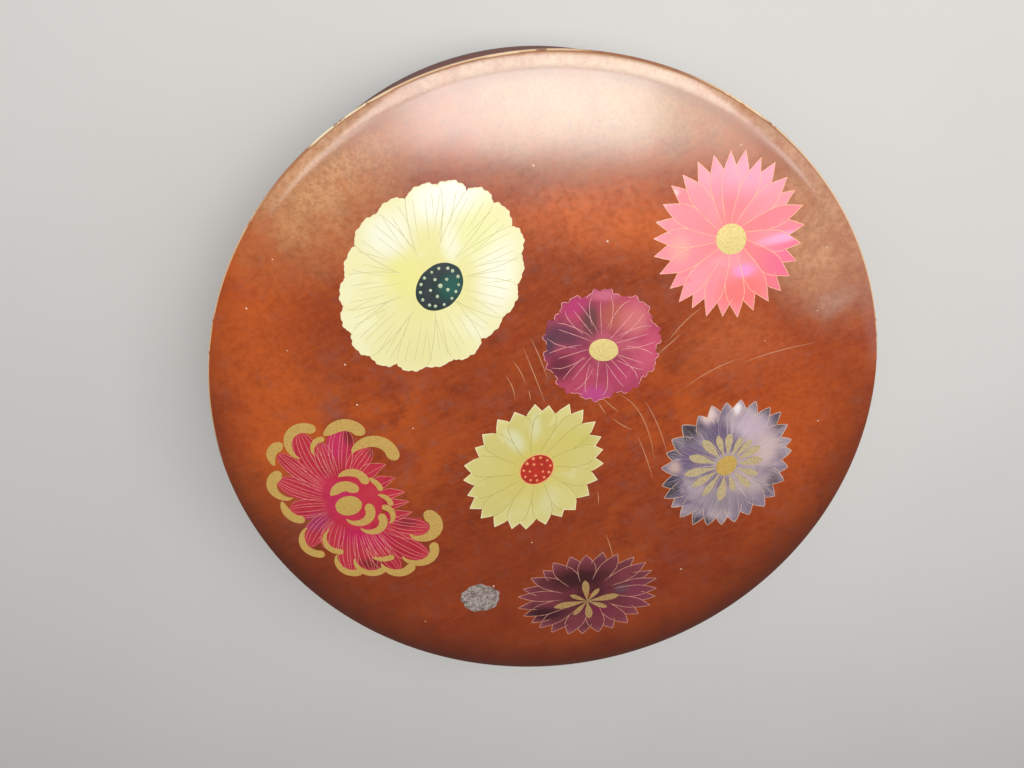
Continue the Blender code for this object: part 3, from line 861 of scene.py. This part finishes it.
for lines, material, slot in (
        (edge_lines(pink, "pink_lines", 0.27, (0.06, 1), (pink.free - 0.06, 1)),
         PALE_GOLD, "gold"),
        (edge_lines(lilac, "lilac_lines", 0.3, (lilac.free - 0.2, 1), (lilac.free - 0.05, 1)),
         SILVER_GOLD, "gold"),
        (edge_lines(dark, "dark_lines", 0.3, (0.2, 1), (dark.free - 0.1, 1)), OLD_GOLD, "gold"),
        (edge_lines(yellow, "yellow_tips", 0.34, (yellow.free, 1), (yellow.free, 1)),
         CREAM_LINE, "yellow_shell"),
        (edge_lines(yellow, "yellow_lines", 0.24, (0.10, yellow.free)),
         OLIVE_PASTE, "yellow_shell"),
        (edge_lines(white, "white_rim", 0.45, (white.free, 1), (white.free, 1)),
         CREAM_LINE, "white_shell"),
        (edge_lines(white, "white_lines", 0.22, (0.12, 0.6)), GREY_PASTE, "white_shell"),
        (rays(white, "white_hairlines",
              [(-0.55, 0.24, 0.50), (-0.1, 0.16, 0.42), (0.4, 0.20, 0.48)], 0.18, 21),
         GREY_PASTE, "white_shell"),
        (rays(plum, "plum_lines",
              [(-0.55, 0.14, 0.62), (-0.1, 0.10, 0.5), (0.45, 0.16, 0.66)], 0.23, 23),
         ROSE_GOLD, "gold"),
        (edge_lines(plum, "plum_rim", 0.24, (plum.free, 0.85), (plum.free + 0.1, 1)),
         ROSE_GOLD, "gold"),
        (rays(lilac, "lilac_hairlines", [(0.0, 0.06, 0.26)], 0.22, 24), SILVER_GOLD, "gold")):
    hand_over(lines, material, slot, "lid")

# %% [markdown]
# ## Eyes
# The eye of a blossom is a small oval plate with a very low dome. Its place is the place of
# the solid that it stands for.

# %% Oval plates
EYE_LIFT = 0.24 * MM
EYE_RISE = 0.08 * MM
EYE_SPOKES = 64
EYE_RINGS = 5
RING_STEPS = 49


def ellipse(radius, angle, half_sizes, tilt, centre):
    """Flat places on an ellipse, given by a share of its size and an angle."""
    x = half_sizes[0] * MM * radius * np.cos(angle)
    y = half_sizes[1] * MM * radius * np.sin(angle)
    turn = math.radians(tilt)
    return centre + np.stack([x * math.cos(turn) - y * math.sin(turn),
                              x * math.sin(turn) + y * math.cos(turn)], axis=-1)


def oval(name, centre, half_sizes, tilt, lift=EYE_LIFT, rise=EYE_RISE, ragged=0.006, seed=7):
    piece, radius, angle = disc_pattern(name, EYE_SPOKES, EYE_RINGS)
    chance = np.random.default_rng(seed)
    waves = sum(chance.uniform(-1, 1) * np.sin(order * angle + chance.uniform(0, 6.28))
                for order in (2, 3, 5, 7, 11))
    flat = ellipse(radius * (1 + ragged * waves), angle, half_sizes, tilt, centre)
    set_points(piece, on_lid(flat, lift + rise * (1 - radius ** 2)))
    return as_shell(piece, PETAL_THICKNESS)


def eye_shell(name, light, deep, spots=()):
    material, tree, shader = new_material(name)
    where = place(tree)
    clouds = noise(tree, where, 260, 4.0, 0.6)
    base = blend(tree, remap(tree, clouds, 0.3, 0.7), colour(light), colour(deep))
    base = add_spots(tree, where, base, spots)
    return finish(material, shader, tree, base, 0.3, clouds, 0.02 * MM, 0.25, 0.12)


GREEN_SHELL = eye_shell("green_shell", "1C342E", "34383C",
                        [((-45, 58), (7, 9), -30, "1E5C50", 0.85)])
RED_SHELL = eye_shell("red_shell", "BC3424", "A62C1E")
HEART_GOLD = metal("gold", "CEAA5A", "BE984C")
PALE_HEART = metal("pale_heart", "E6D088", "D4BC72")

eyes = {
    "white": (11.4, 8.8, 50, GREEN_SHELL, "green_shell"),
    "pink": (6.8, 6.3, -45, PALE_HEART, "gold"),
    "plum": (6.5, 5.15, -8, PALE_HEART, "gold"),
    "yellow": (8.3, 7.0, 48, RED_SHELL, "red_shell"),
    "lilac": (5.5, 4.8, 60, HEART_GOLD, "gold"),
    "crimson": (6.3, 5.2, 20, HEART_GOLD, "gold"),
}
for flower_name, (long_half, short_half, tilt, material, slot) in eyes.items():
    node_name = flower_name + "_blossom_eye"
    hand_over(oval(flower_name + "_eye", centre_of(node_name), (long_half, short_half), tilt),
              material, slot, "lid", node_name)

# %% [markdown]
# ## Dots
# Two of the eyes carry dots of gold, one ring near the edge and a looser one inside. A dot is
# a sphere with few faces, pressed flat, and all dots of an eye are copies in one mesh.

# %% Dots
def dots(name, centres, radii, lift, height=0.08 * MM):
    piece = add(bpy.ops.mesh.primitive_ico_sphere_add, subdivisions=2, radius=1)
    piece.name = piece.data.name = name
    unit = get_points(piece)
    centres = np.asarray(centres, float)
    radii = np.broadcast_to(radii, len(centres))
    modify(piece, "ARRAY", count=len(centres), use_relative_offset=False)
    flat = centres[:, None, :] + unit[None, :, :2] * radii[:, None, None]
    set_points(piece, on_lid(flat.reshape(-1, 2), lift + np.tile(unit[:, 2] * height, len(centres))))
    return piece


def eye_dots(flower_name, rows, seed):
    """Rings of dots. Each row is a share of the eye's size, a count and a dot's radius."""
    long_half, short_half, tilt = eyes[flower_name][:3]
    centre = centre_of(flower_name + "_blossom_eye")
    chance = np.random.default_rng(seed)
    centres, radii = [], []
    for share, count, radius in rows:
        angle = np.arange(count) / count * 2 * math.pi + chance.uniform(-0.06, 0.06, count)
        reach = share * (1 + chance.uniform(-0.04, 0.04, count))
        centres.append(ellipse(reach, angle, (long_half, short_half), tilt, centre))
        radii.append(radius * MM * chance.uniform(0.85, 1.15, count))
    return dots(flower_name + "_dots", np.concatenate(centres), np.concatenate(radii),
                EYE_LIFT + EYE_RISE * 0.6)


DOT_CREAM = metal("dot_cream", "BFCBA6", "93A184", metallic=0.05)
DOT_PEACH = metal("dot_peach", "EE9468", "D87A4C", metallic=0.05)
PEACH_RING = metal("peach_ring", "EFAE78", "DD9A60", metallic=0.05)
hand_over(eye_dots("white", [(0.80, 15, 0.68), (0.40, 5, 0.72), (0.05, 1, 1.0)], 31),
          DOT_CREAM, "gold", "lid")
hand_over(eye_dots("yellow", [(0.80, 11, 0.72), (0.42, 5, 0.66)], 32), DOT_PEACH, "gold", "lid")


def eye_ring(flower_name, share, width):
    """A fine closed line round an eye."""
    long_half, short_half, tilt = eyes[flower_name][:3]
    angle = np.linspace(0, 2 * math.pi, RING_STEPS)
    flat = ellipse(share, angle, (long_half, short_half), tilt,
                   centre_of(flower_name + "_blossom_eye"))
    path = np.column_stack([flat, np.full(RING_STEPS, EYE_LIFT + 0.01 * MM)])
    return strips(flower_name + "_eye_ring", [path], [np.full(RING_STEPS, width * MM)],
                  LINE_THICKNESS)


hand_over(eye_ring("yellow", 1.03, 0.55), PEACH_RING, "gold", "lid")

# %% [markdown]
# ## Drops
# The dark blossom has a star of gold drops for its eye, and drops stand round the eye of the
# grey-violet one like stamens. A drop is a strip that starts as a point and ends round.

# %% Drops
DROP_STEPS = 14


def drops(name, centre, table, lift):
    """Each drop is an angle, where it starts and ends from the centre, and its width."""
    share = 1 - np.linspace(1, 0, DROP_STEPS) ** 1.6
    profile = np.sin(math.pi * share ** 1.8) ** 0.7 * 0.95 + 0.08 * (1 - share)
    paths, widths = [], []
    for angle, start, end, width in table:
        turn = math.radians(angle)
        way = np.array([math.cos(turn), math.sin(turn)])
        reach = (start + (end - start) * share) * MM
        paths.append(np.column_stack([centre + reach[:, None] * way, np.full(DROP_STEPS, lift)]))
        widths.append(width * MM * profile)
    return strips(name, paths, widths, PETAL_THICKNESS)


STAR_REACH = 17.2
STAR_DROPS = [(12, 0.95, 0.21), (55, 0.56, 0.24), (99, 0.77, 0.25), (156, 0.57, 0.22),
              (192, 1.0, 0.20), (234, 0.64, 0.22), (280, 0.66, 0.30), (338, 0.66, 0.22)]
STAR_CENTRE_SHARES = np.array([0.156, -0.702])
STAR_GOLD = metal("star_gold", "B8935E", "9C7A4A")
star = drops("dark_star", STAR_CENTRE_SHARES * LID_RADIUS,
             [(angle, 0.3, reach * STAR_REACH, width * reach * STAR_REACH * 1.15)
              for angle, reach, width in STAR_DROPS], EYE_LIFT)
hand_over(star, STAR_GOLD, "gold", "lid", "dark_blossom_eye")

STAMEN_GOLD = metal("stamen_gold", "C0AC84", "A8946C", metallic=0.05)
STAMENS = [(70, 5.5, 16, 3.4), (93, 5.5, 17, 3.8), (112, 5.5, 17, 3.2), (134, 5.5, 19, 4.6),
           (165, 5.5, 19.5, 4.6), (193, 5.5, 20.5, 4.4), (216, 5.5, 19, 4.0),
           (240, 5.5, 19, 3.6), (268, 5.5, 19.5, 4.4), (292, 5.5, 15, 3.2), (318, 5.5, 18, 3.8),
           (342, 5.5, 17, 3.6), (10, 5.5, 17.5, 4.4), (33, 5.5, 18, 4.2), (52, 5.5, 17, 3.4)]
hand_over(drops("lilac_stamens", centre_of("lilac_blossom_eye"), STAMENS, EYE_LIFT - 0.02 * MM),
          STAMEN_GOLD, "gold", "lid")

# %% [markdown]
# ## Crimson blossom
# This one is drawn another way. Long curved petals of crimson shell sweep out from the heart,
# and each ends in a gold curl that rolls over its tip. All places are measured from the heart.
# A petal is a wide strip on a curve from root over bow to end, and fine gold lines run along it.

# %% Crimson petals
HEART_READ_AT = np.array([-92.8, -47.8])
HEART_SHIFT = centre_of("crimson_blossom_eye") - HEART_READ_AT * MM

# Root, bow and end of each petal, and its width
CRIMSON_PETALS = (
    ((-98, -42), (-112, -34), (-123, -21), 6.0), ((-98, -39), (-110, -28), (-113, -10), 9.0),
    ((-97, -37), (-103, -27), (-104, -15), 7.0), ((-95, -35), (-97, -22), (-93.5, -7.5), 9.5),
    ((-91, -33), (-90, -26), (-82, -17), 7.5), ((-98, -44), (-112, -42), (-124, -34.5), 8.0),
    ((-98, -48), (-109, -50), (-120, -51), 8.5), ((-97, -51), (-108, -57), (-113, -71), 8.0),
    ((-96, -54), (-102, -62), (-102, -73), 8.5), ((-92, -57), (-95, -70), (-93.5, -85), 8.0),
    ((-89, -58), (-87, -72), (-83.5, -85.5), 8.5), ((-86, -58), (-82, -72), (-71, -85), 10.0),
    ((-85, -57), (-82, -68), (-76, -77), 9.0), ((-82, -56), (-74, -70), (-56, -77), 10.0),
    ((-80, -54), (-72, -61), (-55.5, -60.5), 9.5),
)
# Root, bow and tip of the five small pointed petals, and their width
CRIMSON_POINTS = (
    ((-88, -33), (-81, -27), (-74.6, -25.5), 7.0), ((-83, -38), (-76, -33.5), (-70.8, -32.7), 6.4),
    ((-80, -43), (-72, -40), (-66.3, -40.3), 5.6), ((-79, -48), (-70, -46), (-64.6, -45.3), 5.0),
    ((-78, -54), (-69, -53), (-63.2, -50.8), 5.6),
)
CURVE_STEPS = 14
# The hairlines begin this many steps up their petal
HAIR_START = 3


def swept(start, bow, end):
    """Points on a curve from start to end that leans towards the bow point."""
    t = np.linspace(0, 1, CURVE_STEPS)[:, None]
    start, bow, end = [np.asarray(point, float) for point in (start, bow, end)]
    return (1 - t) ** 2 * start + 2 * t * (1 - t) * bow + t ** 2 * end


def beside(path, widths, across):
    """The path moved sideways, by a share of half its width."""
    heading = np.gradient(path, axis=0)
    heading /= np.linalg.norm(heading, axis=1, keepdims=True)
    return path + np.column_stack([-heading[:, 1], heading[:, 0]]) * (widths * across / 2)[:, None]


def lifted(path, lift):
    return np.column_stack([path, np.full(len(path), lift)])


def crimson_petals():
    """Paths, widths and hairlines of all the petals."""
    share = np.linspace(0, 1, CURVE_STEPS)
    long_form = (0.55 + 0.75 * np.sin(math.pi / 2 * np.clip(share / 0.7, 0, 1))) * np.sqrt(
        1 - np.clip((share - 0.7) / 0.32, 0, 1) ** 2)
    point_form = np.clip(0.7 + share, 0, 1) * np.clip(1.9 * (1 - share), 0, 1)
    chance = np.random.default_rng(41)
    paths, widths, lines = [], [], []
    for table, form, offsets in ((CRIMSON_PETALS, long_form, (-1, -0.62, -0.24, 0.14, 0.5, 0.85)),
                                 (CRIMSON_POINTS, point_form, (-1, -0.3, 1))):
        for root, bow, end, width in table:
            path = swept(root, bow, end) * MM + HEART_SHIFT
            wide = width * MM * form
            level = PETAL_LIFT + 0.004 * MM * len(paths)
            paths.append(lifted(path, level))
            widths.append(wide)
            for across in offsets:
                across = across + (chance.uniform(-0.08, 0.08) if abs(across) < 1 else 0)
                line = beside(path, wide, across)
                lines.append(lifted(line[HAIR_START:], PETAL_LIFT + 0.09 * MM + LINE_LIFT))
    return paths, widths, lines


def crimson_shell():
    material, tree, shader = new_material("crimson_shell")
    where = place(tree)
    tint = node(tree, "Attribute", {}, output="Fac", attribute_name="tint")
    clouds = noise(tree, where, 90, 5.0, 0.6, 0.4)
    base = blend(tree, tint, colour("BC2C40"), colour("A82236"))
    base = blend(tree, remap(tree, clouds, 0.35, 0.65, 0.0, 0.6), base, colour("C23C48"))
    base = add_spots(tree, where, base, [
        ((-97, -16), (9, 13), 0, "C22E60", 0.8), ((-104, -38), (12, 9), 20, "C4324E", 0.8),
        ((-96, -46), (12, 15), 0, "BE2C58", 0.8),
        ((-108, -58), (10, 8), 30, "A03262", 0.8), ((-86, -67), (18, 9), -10, "C01E58", 0.85),
        ((-90, -12), (5, 8), 0, "6E2420", 0.85), ((-78, -20), (7, 6), 0, "5E2820", 0.85),
        ((-84, -82), (9, 5), 0, "702420", 0.8), ((-66, -58), (8, 5), 0, "7A2430", 0.7)])
    return finish(material, shader, tree, base, 0.26, clouds, 0.02 * MM, 0.25, 0.12)


CRIMSON_SHELL = crimson_shell()
petal_paths, petal_widths, hair_paths = crimson_petals()
petal_tints = np.random.default_rng(42).uniform(0, 1, len(petal_paths))
hand_over(strips("crimson_petals", petal_paths, petal_widths, PETAL_THICKNESS, petal_tints),
          CRIMSON_SHELL, "crimson_shell", "lid", "crimson_blossom")
hand_over(oval("crimson_middle", np.array([-88.5, -46.5]) * MM + HEART_SHIFT, (11.5, 14.5), 0,
               PETAL_LIFT + 0.08 * MM, 0, 0.02), CRIMSON_SHELL, "crimson_shell", "lid")
HAIR_GOLD = metal("hair_gold", "E29084", "CC6C60", metallic=0.05)
hair_taper = np.sin(np.linspace(0.12, math.pi - 0.25, CURVE_STEPS - HAIR_START)) ** 0.6
hand_over(strips("crimson_lines", hair_paths, np.tile(0.24 * MM * hair_taper,
                                                      (len(hair_paths), 1)), LINE_THICKNESS),
          HAIR_GOLD, "gold", "lid")

# %% Gold curls
# Centre, outer radius, angle of the round end, angle of the thin end, width, and how long the
# curl keeps its width: 2 for a comma, 8 for a curl with two round ends
CURLS = (
    (-110.5, -14.6, 9.7, 50, 252, 4.9, 2.6), (-102.5, -17.5, 6.0, 82, 222, 2.8, 2.4),
    (-92.2, -13.4, 10.7, 20, 168, 5.8, 7), (-79.6, -22.2, 11.4, -8, 168, 6.0, 4.5),
    (-121.5, -21.4, 7.0, 78, 238, 4.9, 4), (-121.5, -37, 8.4, 98, 296, 5.2, 2.6),
    (-115.2, -48.6, 9.3, 282, 160, 4.4, 5), (-107.8, -67.8, 9.7, 286, 122, 4.1, 2.6),
    (-98.4, -67.5, 7.9, 286, 122, 3.1, 2.4), (-92.3, -79.4, 9.0, 302, 152, 3.7, 2.8),
    (-83.3, -79.3, 9.0, 322, 168, 3.5, 2.8), (-70.5, -79.3, 9.2, 345, 188, 4.6, 3),
    (-60.5, -72.5, 9.7, 392, 203, 4.6, 2.6), (-58.3, -58.5, 9.4, 448, 216, 6.7, 2.6),
    (-77.5, -71.0, 8.5, 312, 226, 3.0, 3),
)
HEART_CURLS = (
    (-93.6, -42.2, 7.7, 20, 182, 5.4, 7), (-90.3, -35.8, 7.9, -2, 152, 4.2, 5),
    (-84.5, -40.5, 8.4, 8, 78, 2.6, 6), (-88.3, -51.2, 7.8, 408, 212, 4.6, 2.8),
    (-82.3, -56.4, 7.3, 408, 212, 4.0, 2.8), (-78, -47.3, 6.1, -4, 102, 2.6, 4),
    (-77, -52.8, 5.9, 96, -62, 3.0, 3),
)
CURL_STEPS = 28


def curls(name, table, lift):
    """Gold arcs. The outer edge keeps its radius and the inner one gives the arc its width."""
    share = (1 - np.cos(np.linspace(0, math.pi, CURL_STEPS))) / 2
    paths, widths = [], []
    for x, y, radius, round_end, thin_end, width, keep in table:
        angle = np.radians(round_end + (thin_end - round_end) * share)
        length = abs(math.radians(thin_end - round_end)) * (radius - width / 2)
        head = np.sqrt(1 - (1 - np.clip(share * length / (width / 2), 0, 1)) ** 2)
        tail = np.clip(1 - share ** keep, 0, 1) ** 0.75
        reach = (radius - width / 2 * np.clip(tail, 0.35, 1)) * MM
        centre = np.array([x, y]) * MM + HEART_SHIFT
        flat = centre + reach[:, None] * np.stack([np.cos(angle), np.sin(angle)], axis=-1)
        paths.append(lifted(flat, lift + 0.003 * MM * len(paths)))
        widths.append(width * MM * head * tail)
    return strips(name, paths, widths, PETAL_THICKNESS)


CURL_GOLD = metal("curl_gold", "D0A95C", "C09850")
hand_over(curls("crimson_curls", CURLS, EYE_LIFT - 0.02 * MM), CURL_GOLD, "gold", "lid")
hand_over(curls("crimson_heart", HEART_CURLS, EYE_LIFT + 0.04 * MM), CURL_GOLD, "gold", "lid")

# %% [markdown]
# ## Marks of use
# A grey crust stands where something once stuck to the lid, fine pale scratches cross the
# middle, and a few pale specks lie here and there. They are thin pieces on the surface.

# %% Crust, scratches and specks
def crust():
    material, tree, shader = new_material("crust")
    where = place(tree)
    clouds = noise(tree, where, 420, 6.0, 0.75)
    base = blend(tree, remap(tree, clouds, 0.38, 0.62), colour("6C5C56"), colour("A89A94"))
    flecks = remap(tree, noise(tree, where, 1500, 2.0), 0.6, 0.68)
    base = blend(tree, flecks, base, colour("D2C8C0"))
    return finish(material, shader, tree, base, 0.6, clouds, 0.25 * MM)


hand_over(oval("patch", np.array([-30.5, -103.3]) * MM, (9.8, 8.2), 0, 0.12 * MM, 0.1 * MM, 0.04, 5),
          crust(), "lid_lacquer", "lid")

SCRATCHES = (
    ((-13.8, 31.4), (-8, 18), (-3, 4.8)), ((-10.9, 36), (-6, 27), (-2.2, 15.9)),
    ((-21.3, 18.3), (-17, 13), (-16.5, 6.2)), ((-10.5, 11), (-10, 9), (-9.5, 6)),
    ((-18, 25), (-14, 20), (-12, 14)), ((46, 28), (50, 32), (56, 38)), ((21, 5), (23, 2), (25, -1)),
    ((23, 7), (27, 3), (31, 0)), ((30, 9), (44, 3), (50, -26)), ((42, 6), (50, -5), (56, -23)),
    ((24, -41), (25, -45), (25, -49)), ((30, -66), (33, -73), (35, -81)),
    ((40, -11), (46, -23), (50, -35)), ((28, -3), (33, -7), (38, -9)),
    ((60, 12), (72, 22), (84, 26)), ((86, 24), (100, 30), (118, 33)), ((64, 50), (56, 44), (50, 34)),
)
SPECKS = np.array([
    (72, 117.6), (115.5, 76), (116, 48), (-118, 68.2), (-130.6, 47), (-115, 28.5), (-86.4, 3.4),
    (-90.7, 22.4), (-62, -8), (60, 100), (20, 78), (-12, 108), (94, 34), (70, -88), (-58, -118),
    (-24, -96), (-22, -102), (-24, -108), (-32, -111), (-6, -70), (52, 62), (126, -6)]) * MM


def scratches():
    paths = [lifted(swept(*ends) * MM, 0.015 * MM) for ends in SCRATCHES]
    taper = np.sin(np.linspace(0.1, math.pi - 0.1, CURVE_STEPS))
    return strips("scratches", paths, np.tile(0.38 * MM * taper, (len(paths), 1)), 0.05 * MM)


SCRATCH_PASTE = paste("scratch", "CC9674", "B0704E")
hand_over(scratches(), SCRATCH_PASTE, "lid_lacquer", "lid")
speck_sizes = np.random.default_rng(51).uniform(0.22, 0.5, len(SPECKS)) * MM
hand_over(dots("specks", SPECKS, speck_sizes, 0.01 * MM, 0.05 * MM),
          paste("speck", "E8CDB4", "D0A284"), "lid_lacquer", "lid")

# %% [markdown]
# ## Floor and light
# The floor is plain and pale. One long soft box hangs over the lid and gives the broad sheen
# on its upper part. A wider, weaker one softens its edge, a third one behind the box lights the
# shoulder, a large dim one stands at the right, and an even sky does the rest.

# %% Floor
floor = add(bpy.ops.mesh.primitive_plane_add, size=12)
floor.name = "floor"
floor_material, floor_tree, floor_shader = new_material("floor")
paper = noise(floor_tree, place(floor_tree), 6, 3.0)
finish(floor_material, floor_shader, floor_tree,
       blend(floor_tree, paper, colour("D2D0CC"), colour("DAD8D4")), 0.9)
floor.data.materials.append(floor_material)

# %% Light
def soft_box(name, place_of, turn, size, radiance):
    """A rectangular lamp. Its power follows from how bright its face should be."""
    light = add(bpy.ops.object.light_add, type="AREA", location=place_of,
                rotation=[math.radians(angle) for angle in turn])
    light.name = name
    light.data.shape = "RECTANGLE"
    light.data.size, light.data.size_y = size
    light.data.energy = radiance * math.pi * size[0] * size[1]


soft_box("top_light", (0.07, 0.16, 1.1), (0, 0, 0), (0.46, 0.17), 8.1)
soft_box("wide_light", (0.10, 0.15, 1.1), (0, 0, 0), (1.3, 0.17), 3.4)
soft_box("back_light", (0.1, 0.54, 1.1), (-18, 0, 0), (1.15, 0.56), 5.05)
soft_box("side_light", (1.25, 0.2, 1.0), (0, 54, 0), (1.4, 1.1), 0.55)

world = bpy.context.scene.world or bpy.data.worlds.new("world")
bpy.context.scene.world = world
world.use_nodes = True
sky = world.node_tree.nodes["Background"]
sky.inputs["Color"].default_value = (1.0, 1.0, 1.0, 1.0)
sky.inputs["Strength"].default_value = 0.11
bpy.context.scene.view_settings.view_transform = "Standard"
